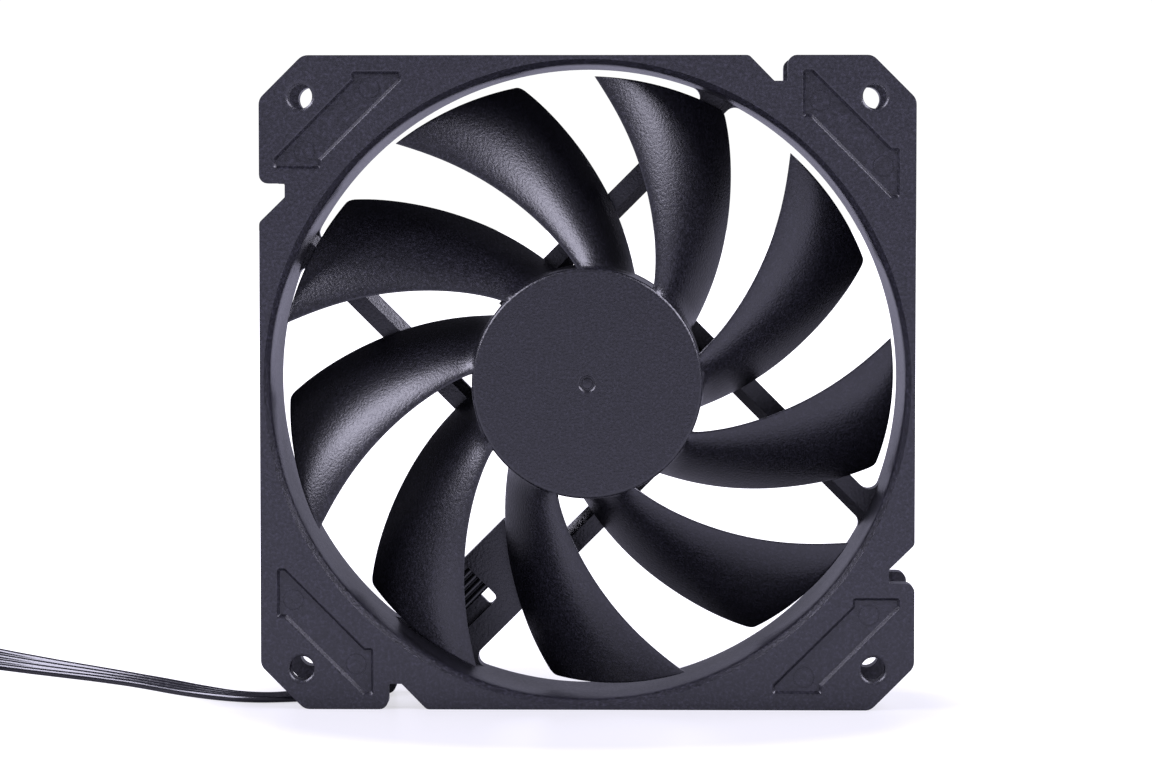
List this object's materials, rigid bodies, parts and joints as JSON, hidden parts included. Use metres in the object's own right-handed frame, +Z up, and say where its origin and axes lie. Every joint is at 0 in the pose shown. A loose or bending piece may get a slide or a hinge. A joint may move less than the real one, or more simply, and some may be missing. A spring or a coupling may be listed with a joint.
{
  "type": "axial case fan",
  "caption": "Square axial cooling fan for a computer case: moulded frame with struts, swept-blade impeller, brushless motor, and a flat lead with a plug.",
  "frame": {"origin": "middle of the fan's lower edge, on the surface that the fan stands on, halfway through its depth", "axes": "+X to the right seen from the intake side, +Y along the fan axis from the intake face to the strut side, +Z up"},
  "size_m": [0.2478, 0.0715, 0.12],
  "materials": {
    "frame_plastic": "fine grained matte",
    "impeller_plastic": "satin, fine grain",
    "steel": "drawn steel",
    "lamination": "stacked sheet steel",
    "magnet": "bonded ferrite",
    "brass": "turned",
    "bronze": "sintered, oil filled",
    "copper_wire": "enamelled winding wire",
    "nylon": "natural nylon",
    "board": "solder mask",
    "chip": "moulded epoxy",
    "ceramic": "fired ceramic",
    "label": "blank satin label",
    "lead_pvc": "glossy flat lead",
    "connector_plastic": "satin nylon",
    "tinned": "tin plated"
  },
  "bodies": {
    "housing": {"frame": "frame_plastic", "bearing_tube": "brass", "sleeve_bearing": "bronze", "oil_washer": "nylon", "thrust_pad": "nylon", "stator_core": "lamination", "stator_insulator_front": "nylon", "stator_insulator_rear": "nylon", "winding_1": "copper_wire", "winding_2": "copper_wire", "winding_3": "copper_wire", "winding_4": "copper_wire", "circuit_board": "board", "driver_chip": "chip", "hall_sensor": "chip", "filter_capacitor": "ceramic", "sense_resistor": "chip", "rear_label": "label", "motor_lead": "lead_pvc", "cable_run": "lead_pvc", "cable_coil": "lead_pvc", "cable_tail": "lead_pvc", "cable_tie": "connector_plastic", "connector_housing": "connector_plastic", "connector_terminal_1": "tinned", "connector_terminal_2": "tinned", "connector_terminal_3": "tinned", "connector_terminal_4": "tinned"},
    "rotor": {"impeller": "impeller_plastic", "rotor_yoke": "steel", "rotor_magnet": "magnet", "shaft": "steel", "retaining_clip": "nylon"}
  },
  "joints": [
    {"name": "impeller_spin", "type": "hinge", "parent": "housing", "child": "rotor", "pos_m": [0, 0, 0.06], "axis": [0, -1, 0], "continuous": true}
  ]
}
